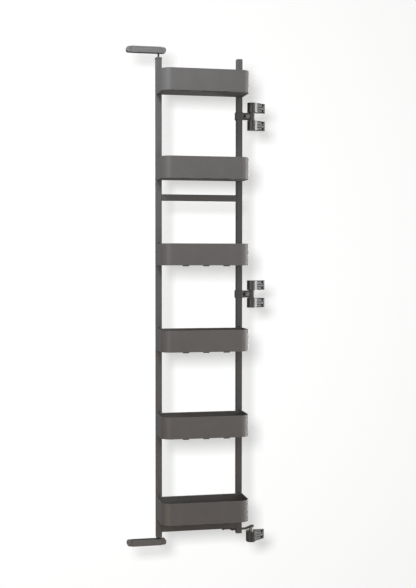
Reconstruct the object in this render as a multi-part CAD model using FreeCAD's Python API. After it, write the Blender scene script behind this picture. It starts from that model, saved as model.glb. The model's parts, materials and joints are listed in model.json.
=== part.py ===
import FreeCAD, Part
import math
import os

from FreeCAD import Vector

os.makedirs("parts", exist_ok=True)

# Swing-out larder frame with six baskets, shown swung out of its cabinet, in millimetres.
# +X runs along the frame from the door edge to the hinges and on into the cabinet.
# -Y faces the person who uses the baskets. +Y faces the cabinet wall and the open door. +Z is up.
# The origin is the middle of the bottom bearing's two wall screws, on the cabinet wall's face.

# Frame
FRAME_WIDTH = 334.0
POST_WIDTH = 22.0
POST_DEPTH = 24.0
POST_WALL = 1.6
POST_CHAMFER = 1.8
LEFT_POST_LENGTH = 1808.0
RIGHT_POST_LENGTH = 1816.0
POST_FOOT_RISE = 15.0
CROSSBAR_HEIGHT = 24.0
CROSSBAR_SETBACK = 1.0
CROSSBAR_CHAMFER = 1.2
UPPER_CROSSBAR_RISE = 1277.6
LOWER_CROSSBAR_RISE = 18.6

# Hinge line
HINGE_TO_POST = 50.0
HINGE_TO_WALL = 22.0
HINGE_TO_SCREWS = 46.0
MIDDLE_HINGE_OVER_RIM = 128.0
MIDDLE_HINGE_BASKET = 2
UPPER_HINGE_OVER_RIM = 168.0
UPPER_HINGE_BASKET = 4
RUNNING_CLEARANCE = 0.05
FACE_GAP = 0.2

# Wall brackets
HOUSING_RADIUS = 17.75
HOUSING_HEIGHT = 36.5
WALL_FOOT_REACH = 11.0
WALL_FOOT_LEFT = 12.0
WALL_FOOT_EDGE = 4.0
BLOCK_START = 12.5
BLOCK_SCREW_SPACING = 22.0
BLOCK_SCREW_RADIUS = 2.6
BLOCK_RECESS = 8.4
BLOCK_RECESS_SEAT = 4.0
BLOCK_GROOVE_WIDTH = 2.6
BLOCK_GROOVE_DEPTH = 2.4
BLOCK_GROOVE_RISES = (-15.6, -6.4, 3.2, 15.6)

# Knuckles
KNUCKLE_RADIUS = 11.5
KNUCKLE_HEIGHT = 30.8
PIN_RADIUS = 6.0
PIN_ENGAGEMENT = 31.0

# Post collar and link
COLLAR_HEIGHT = 29.0
COLLAR_WALL = 2.0
COLLAR_OUTER_SIDE = 3.5
COLLAR_CHAMFER = 2.0
LINK_HEIGHT = 27.0
LINK_DEPTH = 16.0
LINK_CHAMFER = 2.0
LINK_POCKET_RADIUS = 4.6
LINK_POCKET_DEPTH = 7.0
LINK_POCKET_REACH = 6.0

# Bottom bearing
BEARING_RADIUS = 19.75
BEARING_HEIGHT = 41.0
JOURNAL_DEPTH = 26.0
JOURNAL_RADIUS = 8.0
PLATE_THICKNESS = 3.0
PLATE_REACH = 78.0
PLATE_CHAMFER = 2.0
STRAP_THICKNESS = 4.0
STRAP_WIDTH = 20.0
STRAP_REACH = 44.0
STRAP_JOGGLE = 9.5
STRAP_END = 10.5
STRAP_RAMP_START = -22.0
STRAP_RAMP_END = 4.0

# Post plugs and guide pins
PLUG_HEIGHT = 7.0
PLUG_PROUD = 1.2
PLUG_CHAMFER = 3.0
PLUG_DEPTH = 22.0
PLUG_STEM_CHAMFER = 0.6
PLUG_CORNER_CHAMFER = 2.0
TOP_CAP_HEIGHT = 3.0
TOP_CAP_CHAMFER = 1.5
TOP_CAP_DEPTH = 12.0
FOOT_CAP_HEIGHT = 1.5
FOOT_CAP_DEPTH = 8.0
GUIDE_PIN_RADIUS = 3.5
TOP_GUIDE_GAP = 15.0
BOTTOM_GUIDE_GAP = 6.5

# Door rails
RAIL_LENGTH = 115.5
RAIL_DEPTH = 26.5
RAIL_HEIGHT = 21.5
RAIL_WALL = 2.0
RAIL_BEHIND_POST = 2.0
RAIL_SLOT = 9.0
RAIL_SCREW_SPACING = 70.0
RAIL_SCREW_RADIUS = 2.25
COVER_THICKNESS = 1.5
COVER_CHAMFER = 1.0
END_CAP_LENGTH = 17.0
END_CAP_DROP = 0.8
END_CAP_RADIUS = 9.0
END_CAP_TONGUE = 2.0
END_STOP_GAP = 0.3
SHOE_LENGTH = 16.0
SHOE_HEIGHT = 13.0
SHOE_CLEARANCE = 0.4
SHOE_CHAMFER = 2.5

# Baskets
BASKET_COUNT = 6
BASKET_PITCH = 320.0
BASKET_HEIGHT = 81.0
BASKET_DEPTH = 133.0
BASKET_WALL = 1.5
BASKET_FRONT_RADIUS = 38.0
BASKET_RISE = 74.0
FLOOR_THICKNESS = 2.0
TAB_SPACING = 77.0
TAB_WIDTH = 22.0
TAB_DEPTH = 12.0
TAB_DROP = 3.4
TAB_SETBACK = 2.0
HOOK_WIDTH = 3.0
HOOK_THICKNESS = 2.0
HOOK_TIP_DROP = 4.0
HOOK_BELOW_RIM = 1.0
HOOK_SLOT_WIDTH = 4.0
HOOK_SLOT_HEIGHT = 15.0
HOOK_SLOT_ABOVE_RIM = 4.5

# How far a cut runs past the face it opens, and the largest error that counts as none
OVERCUT = 1.0
TINY = 1e-6

# Places that follow from the sizes above
AXIS_X = -HINGE_TO_SCREWS
AXIS_Y = -HINGE_TO_WALL
RIGHT_POST_X = AXIS_X - HINGE_TO_POST
LEFT_POST_X = RIGHT_POST_X - (FRAME_WIDTH - POST_WIDTH)
FRAME_MID_X = (RIGHT_POST_X + LEFT_POST_X) / 2
POST_Y = AXIS_Y
FRONT_Y = POST_Y - POST_DEPTH / 2
BACK_Y = POST_Y + POST_DEPTH / 2
POST_FOOT_Z = POST_FOOT_RISE
LEFT_TOP_Z = POST_FOOT_Z + LEFT_POST_LENGTH
RIGHT_TOP_Z = POST_FOOT_Z + RIGHT_POST_LENGTH
SHAPES = {}


def box(low, high):
    """Box between two corners."""
    size = high - low
    return Part.makeBox(size.x, size.y, size.z, low)


def rod(radius, length, base, direction=Vector(0, 0, 1)):
    """Cylinder that starts at base and runs along direction."""
    return Part.makeCylinder(radius, length, base, direction)


def polar(radius, degrees):
    """Level vector of a given length and heading."""
    return Vector(radius * math.cos(math.radians(degrees)), radius * math.sin(math.radians(degrees)), 0)


def polar_arc(centre, radius, start):
    """Level quarter arc from one heading to the next."""
    return Part.Arc(*[centre + polar(radius, start + step) for step in (0, 45, 90)]).toShape()


def round_fronted_prism(low, high, radius):
    """Upright prism on a rectangle whose two -Y corners are rounded."""
    left_centre = Vector(low.x + radius, low.y + radius, low.z)
    right_centre = Vector(high.x - radius, low.y + radius, low.z)
    back_right = Vector(high.x, high.y, low.z)
    back_left = Vector(low.x, high.y, low.z)
    edges = [
        polar_arc(left_centre, radius, 180),
        Part.LineSegment(left_centre + polar(radius, 270), right_centre + polar(radius, 270)).toShape(),
        polar_arc(right_centre, radius, 270),
        Part.LineSegment(right_centre + polar(radius, 0), back_right).toShape(),
        Part.LineSegment(back_right, back_left).toShape(),
        Part.LineSegment(back_left, left_centre + polar(radius, 180)).toShape(),
    ]
    return Part.Face(Part.Wire(edges)).extrude(Vector(0, 0, high.z - low.z))


def chamfered_prism(low, high, chamfer):
    """Upright prism on a rectangle with its four corners cut off."""
    block = box(low, high)
    return block.makeChamfer(chamfer, edges_where(block, lambda edge, middle: edge.BoundBox.ZLength > TINY))


def edges_where(shape, test):
    """Edges of a shape whose middle point passes a test."""
    found = []
    for edge in shape.Edges:
        middle = edge.valueAt((edge.FirstParameter + edge.LastParameter) / 2)
        if test(edge, middle):
            found.append(edge)
    return found


def level_edges(shape, z):
    """Edges that lie wholly at one height."""
    return edges_where(shape, lambda edge, middle: edge.BoundBox.ZLength < TINY and abs(middle.z - z) < TINY)


def flipped(shape, z):
    """Mirror image of a shape in the level plane at height z."""
    return shape.mirror(Vector(0, 0, z), Vector(0, 0, 1))


def keep(name, shape):
    """Record one named piece, or a group of like pieces, for export."""
    if isinstance(shape, (list, tuple)):
        shape = Part.makeCompound(list(shape))
    SHAPES[name] = shape


def post_tube(centre_x, top_z):
    """Rectangular tube of one upright with its corners cut off, open at both ends."""
    low = Vector(centre_x - POST_WIDTH / 2, FRONT_Y, POST_FOOT_Z)
    high = Vector(centre_x + POST_WIDTH / 2, BACK_Y, top_z)
    inset = Vector(POST_WALL, POST_WALL, 0)
    return chamfered_prism(low, high, POST_CHAMFER).cut(box(low + inset, high - inset))


def basket_foot_z(index):
    """Height of the underside of a basket, counted from the lowest."""
    return POST_FOOT_Z + BASKET_RISE + index * BASKET_PITCH


def rim_z(index):
    """Height of a basket's rim."""
    return basket_foot_z(index) + BASKET_HEIGHT


def hook_slots(centre_x):
    """Slots in an upright's front wall, one behind each basket rim."""
    slots = []
    for index in range(BASKET_COUNT):
        top = rim_z(index) + HOOK_SLOT_ABOVE_RIM
        low = Vector(centre_x - HOOK_SLOT_WIDTH / 2, FRONT_Y - OVERCUT, top - HOOK_SLOT_HEIGHT)
        high = Vector(centre_x + HOOK_SLOT_WIDTH / 2, FRONT_Y + POST_WALL + OVERCUT, top)
        slots.append(box(low, high))
    return Part.makeCompound(slots)


def strap_top_z():
    """Height of the bearing strap's upper face, below the crossbar and its plate."""
    return POST_FOOT_Z + LOWER_CROSSBAR_RISE - PLATE_THICKNESS


def make_posts():
    """Both uprights, with the hook slots, and the window that the bearing strap passes through."""
    keep("left_post", post_tube(LEFT_POST_X, LEFT_TOP_Z).cut(hook_slots(LEFT_POST_X)))
    right = post_tube(RIGHT_POST_X, RIGHT_TOP_Z).cut(hook_slots(RIGHT_POST_X))
    clear = Vector(0, FACE_GAP, FACE_GAP)
    low = Vector(RIGHT_POST_X - POST_WIDTH, POST_Y - STRAP_WIDTH / 2, strap_top_z() - STRAP_THICKNESS)
    high = Vector(RIGHT_POST_X + POST_WIDTH, POST_Y + STRAP_WIDTH / 2, strap_top_z())
    keep("right_post", right.cut(box(low - clear, high + clear)))


def crossbar(rise):
    """Rectangular tube between the uprights, welded to them face to face."""
    inner_left = LEFT_POST_X + POST_WIDTH / 2
    inner_right = RIGHT_POST_X - POST_WIDTH / 2
    foot = POST_FOOT_Z + rise
    low = Vector(inner_left, FRONT_Y + CROSSBAR_SETBACK, foot)
    high = Vector(inner_right, BACK_Y - CROSSBAR_SETBACK, foot + CROSSBAR_HEIGHT)
    outer = box(low, high)
    long_edges = edges_where(outer, lambda edge, middle: edge.BoundBox.XLength > CROSSBAR_HEIGHT)
    outer = outer.makeChamfer(CROSSBAR_CHAMFER, long_edges)
    inset = Vector(0, POST_WALL, POST_WALL)
    return outer.cut(box(low + inset, high - inset))


def make_crossbars():
    """The upper tie and the bottom sill of the frame."""
    keep("upper_crossbar", crossbar(UPPER_CROSSBAR_RISE))
    keep("lower_crossbar", crossbar(LOWER_CROSSBAR_RISE))


def post_plug(centre_x, end_z, height, proud, chamfer, depth):
    """Moulded plug for the top of an upright: a rim over the tube's end and a stem inside it."""
    spread = Vector(proud, proud, 0)
    low = Vector(centre_x - POST_WIDTH / 2, FRONT_Y, end_z)
    high = Vector(centre_x + POST_WIDTH / 2, BACK_Y, end_z + height)
    rim = chamfered_prism(low - spread, high + spread, PLUG_CORNER_CHAMFER)
    if chamfer > 0:
        rim = rim.makeChamfer(chamfer, level_edges(rim, end_z + height))
    inset = POST_WALL + FACE_GAP
    stem_low = low + Vector(inset, inset, -depth)
    stem_high = Vector(high.x - inset, high.y - inset, end_z)
    return rim.fuse(chamfered_prism(stem_low, stem_high, PLUG_STEM_CHAMFER))


def foot_plug(centre_x, depth):
    """Flat plug for the lower end of an upright."""
    return flipped(post_plug(centre_x, POST_FOOT_Z, FOOT_CAP_HEIGHT, 0, 0, depth), POST_FOOT_Z)


def make_plugs_and_guide_pins():
    """Plugs in the four tube ends, and the guide pins that stand out of the left upright."""
    reach = RAIL_WALL + SHOE_HEIGHT
    down = Vector(0, 0, -1)
    top_seat = Vector(LEFT_POST_X, POST_Y, LEFT_TOP_Z + PLUG_HEIGHT)
    foot_seat = Vector(LEFT_POST_X, POST_Y, POST_FOOT_Z - FOOT_CAP_HEIGHT)
    keep("left_post_top_plug", post_plug(
        LEFT_POST_X, LEFT_TOP_Z, PLUG_HEIGHT, PLUG_PROUD, PLUG_CHAMFER, PLUG_DEPTH))
    keep("left_post_foot_plug", foot_plug(LEFT_POST_X, PLUG_DEPTH))
    keep("right_post_top_cap", post_plug(
        RIGHT_POST_X, RIGHT_TOP_Z, TOP_CAP_HEIGHT, 0, TOP_CAP_CHAMFER, TOP_CAP_DEPTH))
    keep("right_post_foot_cap", foot_plug(RIGHT_POST_X, FOOT_CAP_DEPTH))
    keep("top_guide_pin", rod(GUIDE_PIN_RADIUS, TOP_GUIDE_GAP + reach, top_seat))
    keep("bottom_guide_pin", rod(GUIDE_PIN_RADIUS, BOTTOM_GUIDE_GAP + reach, foot_seat, down))


def wall_bracket_outline(radius, foot_z):
    """Plan outline of a bracket: a round nose, a flat face sloping back to the wall, and the foot."""
    centre = Vector(AXIS_X, AXIS_Y, foot_z)
    foot_end = Vector(WALL_FOOT_REACH, -WALL_FOOT_EDGE, foot_z)
    reach = foot_end - centre
    turn = math.atan2(reach.y, reach.x) - math.acos(radius / reach.Length)
    tangent = centre + Vector(radius * math.cos(turn), radius * math.sin(turn), 0)
    slope = foot_end - tangent
    slope.normalize()
    wall_end = Vector(WALL_FOOT_REACH, 0, foot_z)
    left_wall = Vector(AXIS_X - WALL_FOOT_LEFT, 0, foot_z)
    left_side = centre + Vector(-radius, 0, 0)
    middle_turn = (turn - math.pi) / 2
    nose = centre + Vector(radius * math.cos(middle_turn), radius * math.sin(middle_turn), 0)
    edges = [
        Part.Arc(left_side, nose, tangent).toShape(),
        Part.LineSegment(tangent, foot_end).toShape(),
        Part.LineSegment(foot_end, wall_end).toShape(),
        Part.LineSegment(wall_end, left_wall).toShape(),
        Part.LineSegment(left_wall, left_side).toShape(),
    ]
    return Part.Face(Part.Wire(edges)), tangent, slope


def split_bracket(radius, foot_z):
    """The bracket as its smooth housing and its ribbed screw block, parted square to the wall."""
    face, tangent, slope = wall_bracket_outline(radius, foot_z)
    whole = face.extrude(Vector(0, 0, HOUSING_HEIGHT))
    start = tangent + slope * BLOCK_START
    side_low = Vector(start.x, tangent.y, foot_z - OVERCUT)
    side_high = Vector(WALL_FOOT_REACH, 0, foot_z + HOUSING_HEIGHT + OVERCUT)
    side = box(side_low, side_high + Vector(OVERCUT, OVERCUT, 0))
    return whole.cut(side), whole.common(side), tangent, slope


def screw_block(block, tangent, slope, foot_z):
    """Cut the grooves, and two screw holes with recesses for the heads, into a ribbed block."""
    mid_z = foot_z + HOUSING_HEIGHT / 2
    turn = math.degrees(math.atan2(slope.y, slope.x))
    groove_length = (WALL_FOOT_REACH - tangent.x) / slope.x + OVERCUT
    for rise in BLOCK_GROOVE_RISES:
        groove = Part.makeBox(groove_length, BLOCK_GROOVE_DEPTH * 2, BLOCK_GROOVE_WIDTH)
        groove.translate(Vector(0, -BLOCK_GROOVE_DEPTH, rise - BLOCK_GROOVE_WIDTH / 2))
        groove.rotate(Vector(0, 0, 0), Vector(0, 0, 1), turn)
        groove.translate(Vector(tangent.x, tangent.y, mid_z))
        block = block.cut(groove)
    for side in (-1, 1):
        z = mid_z + side * BLOCK_SCREW_SPACING / 2
        front = Vector(0, tangent.y, z)
        block = block.cut(rod(BLOCK_SCREW_RADIUS, OVERCUT - tangent.y, front, Vector(0, 1, 0)))
        recess_low = Vector(-BLOCK_RECESS / 2, tangent.y, z - BLOCK_RECESS / 2)
        recess_high = Vector(BLOCK_RECESS / 2, -BLOCK_RECESS_SEAT, z + BLOCK_RECESS / 2)
        block = block.cut(box(recess_low, recess_high))
    return block


def make_hinge(name, mid_z):
    """One double-knuckle hinge: two wall brackets, the pin, the link and the collar."""
    gap = KNUCKLE_HEIGHT / 2 + FACE_GAP
    bore = PIN_RADIUS + RUNNING_CLEARANCE
    half_pin = gap + PIN_ENGAGEMENT
    pin = rod(PIN_RADIUS, 2 * half_pin, Vector(AXIS_X, AXIS_Y, mid_z - half_pin))
    hole = rod(bore, 2 * (half_pin + FACE_GAP), Vector(AXIS_X, AXIS_Y, mid_z - half_pin - FACE_GAP))
    for side, foot_z in (("lower", mid_z - gap - HOUSING_HEIGHT), ("upper", mid_z + gap)):
        housing, block, tangent, slope = split_bracket(HOUSING_RADIUS, foot_z)
        keep(name + "_" + side + "_housing", housing.cut(hole))
        keep(name + "_" + side + "_block", screw_block(block, tangent, slope, foot_z))
    keep(name + "_pin", pin)
    make_link(name, mid_z, hole)


def make_link(name, mid_z, hole):
    """Knuckle and arm of one link, with its adjuster's pocket, and the collar round the right upright."""
    post_right = RIGHT_POST_X + POST_WIDTH / 2
    collar_right = post_right + COLLAR_WALL
    arm_low = Vector(collar_right, AXIS_Y - LINK_DEPTH / 2, mid_z - LINK_HEIGHT / 2)
    arm_high = Vector(AXIS_X, AXIS_Y + LINK_DEPTH / 2, mid_z + LINK_HEIGHT / 2)
    arm = box(arm_low, arm_high)
    long_edges = edges_where(arm, lambda edge, middle: edge.BoundBox.XLength > LINK_DEPTH)
    arm = arm.makeChamfer(LINK_CHAMFER, long_edges)
    knuckle_foot = Vector(AXIS_X, AXIS_Y, mid_z - KNUCKLE_HEIGHT / 2)
    knuckle = rod(KNUCKLE_RADIUS, KNUCKLE_HEIGHT, knuckle_foot)
    pocket_x = collar_right + LINK_POCKET_REACH
    pocket_foot = Vector(pocket_x, arm_low.y - OVERCUT, mid_z)
    pocket = rod(LINK_POCKET_RADIUS, LINK_POCKET_DEPTH + OVERCUT, pocket_foot, Vector(0, 1, 0))
    link = arm.fuse(knuckle).removeSplitter()
    keep(name + "_link", link.cut(hole).cut(pocket))
    collar_low = Vector(RIGHT_POST_X - POST_WIDTH / 2 - COLLAR_OUTER_SIDE, FRONT_Y - COLLAR_WALL,
                        mid_z - COLLAR_HEIGHT / 2)
    collar_high = Vector(collar_right, BACK_Y + COLLAR_WALL, mid_z + COLLAR_HEIGHT / 2)
    ring = chamfered_prism(collar_low, collar_high, COLLAR_CHAMFER)
    post_low = Vector(RIGHT_POST_X - POST_WIDTH / 2, FRONT_Y, collar_low.z - OVERCUT)
    post_high = Vector(post_right, BACK_Y, collar_high.z + OVERCUT)
    keep(name + "_collar", ring.cut(box(post_low, post_high)))


def strap_blank():
    """The bearing strap before its bends are rounded: level under the frame, then ramped up."""
    top = strap_top_z()
    left = RIGHT_POST_X + POST_WIDTH / 2 - STRAP_REACH
    ramp_start = AXIS_X + STRAP_RAMP_START
    ramp_end = AXIS_X + STRAP_RAMP_END
    right = AXIS_X + STRAP_END
    y = POST_Y - STRAP_WIDTH / 2
    upper = [
        Vector(left, y, top),
        Vector(ramp_start, y, top),
        Vector(ramp_end, y, top + STRAP_JOGGLE),
        Vector(right, y, top + STRAP_JOGGLE),
    ]
    drop = Vector(0, 0, -STRAP_THICKNESS)
    outline = upper + [point + drop for point in reversed(upper)]
    return Part.Face(Part.makePolygon(outline + [outline[0]])).extrude(Vector(0, STRAP_WIDTH, 0))


def make_bottom_bearing():
    """Thrust bearing on the hinge line, with the strap that carries the frame on it."""
    foot_z = -HOUSING_HEIGHT / 2
    barrel_foot = Vector(AXIS_X, AXIS_Y, foot_z - (BEARING_HEIGHT - HOUSING_HEIGHT))
    barrel = rod(BEARING_RADIUS, BEARING_HEIGHT, barrel_foot)
    side, block, tangent, slope = split_bracket(BEARING_RADIUS, foot_z)
    top_z = foot_z + HOUSING_HEIGHT
    seat = Vector(AXIS_X, AXIS_Y, top_z - JOURNAL_DEPTH)
    bore = rod(JOURNAL_RADIUS + RUNNING_CLEARANCE, JOURNAL_DEPTH + OVERCUT, seat)
    keep("bottom_bearing_housing", barrel.fuse(side).removeSplitter().cut(bore))
    keep("bottom_bearing_block", screw_block(block, tangent, slope, foot_z))
    strap = strap_blank()
    bends = edges_where(strap, lambda edge, middle: (
        edge.BoundBox.YLength > STRAP_WIDTH / 2
        and AXIS_X + STRAP_RAMP_START - TINY < middle.x < AXIS_X + STRAP_RAMP_END + TINY))
    strap = strap.makeFillet(STRAP_THICKNESS, bends)
    keep("bearing_strap", strap)
    shaft_foot = seat + Vector(0, 0, RUNNING_CLEARANCE)
    strap_under = strap_top_z() + STRAP_JOGGLE - STRAP_THICKNESS
    shaft = rod(JOURNAL_RADIUS, strap_under - shaft_foot.z, shaft_foot)
    above = strap.copy()
    above.translate(Vector(0, 0, STRAP_THICKNESS))
    keep("bearing_shaft", shaft.cut(strap).cut(above))
    make_bearing_plate()


def make_bearing_plate():
    """Plate under the sill that the strap is screwed to."""
    right = RIGHT_POST_X - POST_WIDTH / 2
    top = strap_top_z() + PLATE_THICKNESS
    left = right + POST_WIDTH - PLATE_REACH
    low = Vector(left, POST_Y - STRAP_WIDTH / 2, top - PLATE_THICKNESS)
    high = Vector(right, POST_Y + STRAP_WIDTH / 2, top)
    keep("bearing_plate", chamfered_prism(low, high, PLATE_CHAMFER))


def rail_set(mouth_z):
    """Pieces of the top rail, whose slot faces down at height mouth_z, with the guide shoe."""
    stop_x = LEFT_POST_X + SHOE_LENGTH / 2 + END_STOP_GAP
    right = stop_x + END_CAP_TONGUE
    left = right - RAIL_LENGTH
    back = BACK_Y + RAIL_BEHIND_POST
    front = back - RAIL_DEPTH
    low = Vector(left, front, mouth_z)
    high = Vector(right, back, mouth_z + RAIL_HEIGHT)
    inset = Vector(0, RAIL_WALL, RAIL_WALL)
    past = Vector(OVERCUT, 0, 0)
    cavity_low = low + inset - past
    cavity_high = high - inset + past
    slot_low = Vector(left - OVERCUT, POST_Y - RAIL_SLOT / 2, mouth_z - OVERCUT)
    slot_high = Vector(right + OVERCUT, POST_Y + RAIL_SLOT / 2, mouth_z + RAIL_WALL + OVERCUT)
    profile = box(low, high).cut(box(cavity_low, cavity_high)).cut(box(slot_low, slot_high))
    for side in (-1, 1):
        x = (left + right) / 2 + side * RAIL_SCREW_SPACING / 2
        centre = Vector(x, back - RAIL_WALL - OVERCUT, mouth_z + RAIL_HEIGHT / 2)
        profile = profile.cut(rod(RAIL_SCREW_RADIUS, RAIL_WALL + 2 * OVERCUT, centre, Vector(0, 1, 0)))
    over = Vector(0, COVER_THICKNESS, 0)
    cover_high = high + Vector(0, 0, COVER_THICKNESS)
    cover = box(low - over, cover_high)
    corner = edges_where(cover, lambda edge, middle: (
        edge.BoundBox.XLength > RAIL_DEPTH and middle.y < front and middle.z > mouth_z + RAIL_WALL))
    below = Vector(0, 0, OVERCUT)
    cover = cover.makeChamfer(COVER_CHAMFER, corner).cut(box(low - past - below, high + past))
    caps = []
    for start, direction in ((left, -1), (right, 1)):
        caps.append(end_cap(start, direction, front, back, mouth_z))
    shoe_low = Vector(LEFT_POST_X - SHOE_LENGTH / 2, front + RAIL_WALL + SHOE_CLEARANCE, 0)
    half_depth = POST_Y - shoe_low.y
    shoe_foot = mouth_z + RAIL_WALL + SHOE_CLEARANCE
    shoe = chamfered_prism(
        Vector(shoe_low.x, shoe_low.y, shoe_foot),
        Vector(LEFT_POST_X + SHOE_LENGTH / 2, POST_Y + half_depth, shoe_foot + SHOE_HEIGHT),
        SHOE_CHAMFER)
    pin_foot = Vector(LEFT_POST_X, POST_Y, shoe_foot - OVERCUT)
    bore = rod(GUIDE_PIN_RADIUS + RUNNING_CLEARANCE, SHOE_HEIGHT + 2 * OVERCUT, pin_foot)
    return profile, cover, caps, shoe.cut(bore)


def end_cap(start, direction, front, back, mouth_z):
    """End cap of a rail: a block with a round-cornered end and a tongue in the rail's cavity."""
    near = min(start, start + direction * END_CAP_LENGTH)
    far = max(start, start + direction * END_CAP_LENGTH)
    low = Vector(near, front - COVER_THICKNESS + END_CAP_DROP, mouth_z)
    high = Vector(far, back, mouth_z + RAIL_HEIGHT)
    block = box(low, high)
    end_x = start + direction * END_CAP_LENGTH
    rounds = edges_where(block, lambda edge, middle: (
        abs(middle.x - end_x) < TINY and edge.BoundBox.YLength > RAIL_DEPTH / 2))
    block = block.makeFillet(END_CAP_RADIUS, rounds)
    tongue_edge = start - direction * END_CAP_TONGUE
    tongue_low = Vector(min(start, tongue_edge), front + RAIL_WALL + FACE_GAP,
                        mouth_z + RAIL_WALL + FACE_GAP)
    tongue_high = Vector(max(start, tongue_edge), back - RAIL_WALL - FACE_GAP,
                         mouth_z + RAIL_HEIGHT - RAIL_WALL - FACE_GAP)
    return block.fuse(box(tongue_low, tongue_high))


def make_rails():
    """The two door rails with their covers, end caps and guide shoes."""
    names = ("rail", "rail_cover", "rail_left_cap", "rail_right_cap", "shoe")
    mouth_z = LEFT_TOP_Z + PLUG_HEIGHT + TOP_GUIDE_GAP
    profile, cover, caps, shoe = rail_set(mouth_z)
    for name, shape in zip(names, (profile, cover, caps[0], caps[1], shoe)):
        keep("top_" + name, shape)
    foot_mouth = POST_FOOT_Z - FOOT_CAP_HEIGHT - BOTTOM_GUIDE_GAP
    profile, cover, caps, shoe = rail_set(foot_mouth)
    for name, shape in zip(names, (profile, cover, caps[0], caps[1], shoe)):
        keep("bottom_" + name, flipped(shape, foot_mouth))


def make_basket(index):
    """One basket: the bent sheet wall, and the floor with its three tabs."""
    foot = basket_foot_z(index)
    low = Vector(FRAME_MID_X - FRAME_WIDTH / 2, FRONT_Y - BASKET_DEPTH, foot)
    high = Vector(FRAME_MID_X + FRAME_WIDTH / 2, FRONT_Y, foot + BASKET_HEIGHT)
    inset = Vector(BASKET_WALL, BASKET_WALL, 0)
    inner_front = BASKET_FRONT_RADIUS - BASKET_WALL
    wall = round_fronted_prism(low, high, BASKET_FRONT_RADIUS)
    wall = wall.cut(round_fronted_prism(low + inset, high - inset, inner_front))
    name = "basket_" + str(index + 1)
    keep(name + "_wall", wall)
    floor_high = Vector(high.x, high.y, foot + FLOOR_THICKNESS) - inset
    floor = round_fronted_prism(low + inset, floor_high, inner_front)
    for side in (-1, 0, 1):
        x = FRAME_MID_X + side * TAB_SPACING
        tab_low = Vector(x - TAB_WIDTH / 2, low.y + TAB_SETBACK, foot - TAB_DROP)
        tab_high = Vector(x + TAB_WIDTH / 2, low.y + TAB_SETBACK + TAB_DEPTH, foot + FLOOR_THICKNESS / 2)
        floor = floor.fuse(box(tab_low, tab_high))
    keep(name + "_floor", floor.removeSplitter())


def hook(centre_x, rim):
    """One sheet hook on a basket's back wall: a neck through the upright's slot and a turned-down tip."""
    half = HOOK_WIDTH / 2
    slot_foot = rim + HOOK_SLOT_ABOVE_RIM - HOOK_SLOT_HEIGHT
    top = rim - HOOK_BELOW_RIM
    behind = FRONT_Y + POST_WALL + FACE_GAP
    neck = box(Vector(centre_x - half, FRONT_Y, slot_foot), Vector(centre_x + half, behind, top))
    tip_foot = Vector(centre_x - half, behind, slot_foot - HOOK_TIP_DROP)
    tip = box(tip_foot, Vector(centre_x + half, behind + HOOK_THICKNESS, top))
    return neck.fuse(tip).removeSplitter()


def make_baskets():
    """All baskets and the hooks that hang them on the uprights."""
    hooks = []
    for index in range(BASKET_COUNT):
        make_basket(index)
        for centre_x in (LEFT_POST_X, RIGHT_POST_X):
            hooks.append(hook(centre_x, rim_z(index)))
    keep("basket_hooks", hooks)


make_posts()
make_crossbars()
make_plugs_and_guide_pins()
make_hinge("middle_hinge", rim_z(MIDDLE_HINGE_BASKET) + MIDDLE_HINGE_OVER_RIM)
make_hinge("upper_hinge", rim_z(UPPER_HINGE_BASKET) + UPPER_HINGE_OVER_RIM)
make_bottom_bearing()
make_rails()
make_baskets()

for node_name, node_shape in SHAPES.items():
    node_shape.exportStep("parts/" + node_name + ".step")
print(len(SHAPES), "nodes")
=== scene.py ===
"""Swing-out larder frame with hooked sheet metal baskets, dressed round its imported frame."""

import json
import logging
import math
from dataclasses import dataclass, field
from enum import Enum
from typing import Any, Callable, Optional, Sequence, Union

import bmesh
import bpy
from mathutils import Matrix, Vector

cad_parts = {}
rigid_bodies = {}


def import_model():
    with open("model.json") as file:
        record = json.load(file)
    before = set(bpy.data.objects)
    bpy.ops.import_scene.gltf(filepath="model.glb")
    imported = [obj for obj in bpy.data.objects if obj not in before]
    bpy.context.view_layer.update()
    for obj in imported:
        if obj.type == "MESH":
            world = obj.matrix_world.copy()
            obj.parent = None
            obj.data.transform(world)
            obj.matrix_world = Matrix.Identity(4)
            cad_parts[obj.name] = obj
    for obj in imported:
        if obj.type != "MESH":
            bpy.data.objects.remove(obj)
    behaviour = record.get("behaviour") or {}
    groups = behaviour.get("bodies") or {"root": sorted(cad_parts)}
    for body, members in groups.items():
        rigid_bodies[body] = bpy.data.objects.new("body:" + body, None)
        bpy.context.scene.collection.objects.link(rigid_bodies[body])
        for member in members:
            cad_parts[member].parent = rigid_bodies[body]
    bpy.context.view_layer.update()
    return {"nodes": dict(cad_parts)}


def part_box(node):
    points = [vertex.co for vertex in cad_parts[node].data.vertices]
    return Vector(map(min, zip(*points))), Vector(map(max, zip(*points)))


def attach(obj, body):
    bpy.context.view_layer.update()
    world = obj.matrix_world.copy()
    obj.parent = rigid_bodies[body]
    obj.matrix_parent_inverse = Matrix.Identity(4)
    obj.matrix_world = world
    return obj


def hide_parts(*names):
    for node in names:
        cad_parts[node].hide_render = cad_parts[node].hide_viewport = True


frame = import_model()

LOG = logging.getLogger("larder")
IMAGE_HEIGHT = 588
MM = 0.001
BASKETS = 6
FRAME_BODY = "frame"
WALL_BODY = "wall_brackets"

# Distances, angles and cosines that decide what counts as one point, as the same place, as lying on
# a cut, as a flat face, a crisp edge, a tube's corner or a square corner, and as pointing along an
# axis or mostly along it.
MERGE = 0.002 * MM
SAME_PLACE = 0.01 * MM
ON_CUT = 0.0001 * MM
FLAT = math.radians(0.4)
CRISP = math.radians(35)
TUBE_CORNER = math.radians(20)
SQUARE = 1.0
ALONG = 0.9
MOSTLY = 0.5

# The turn that lays a cylinder along Y, and the directions in which screw heads face.
ALONG_Y = Matrix.Rotation(math.pi / 2, 4, "X")
FORWARD = Vector((0, -1, 0))
DOWN = Vector((0, 0, -1))

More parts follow.
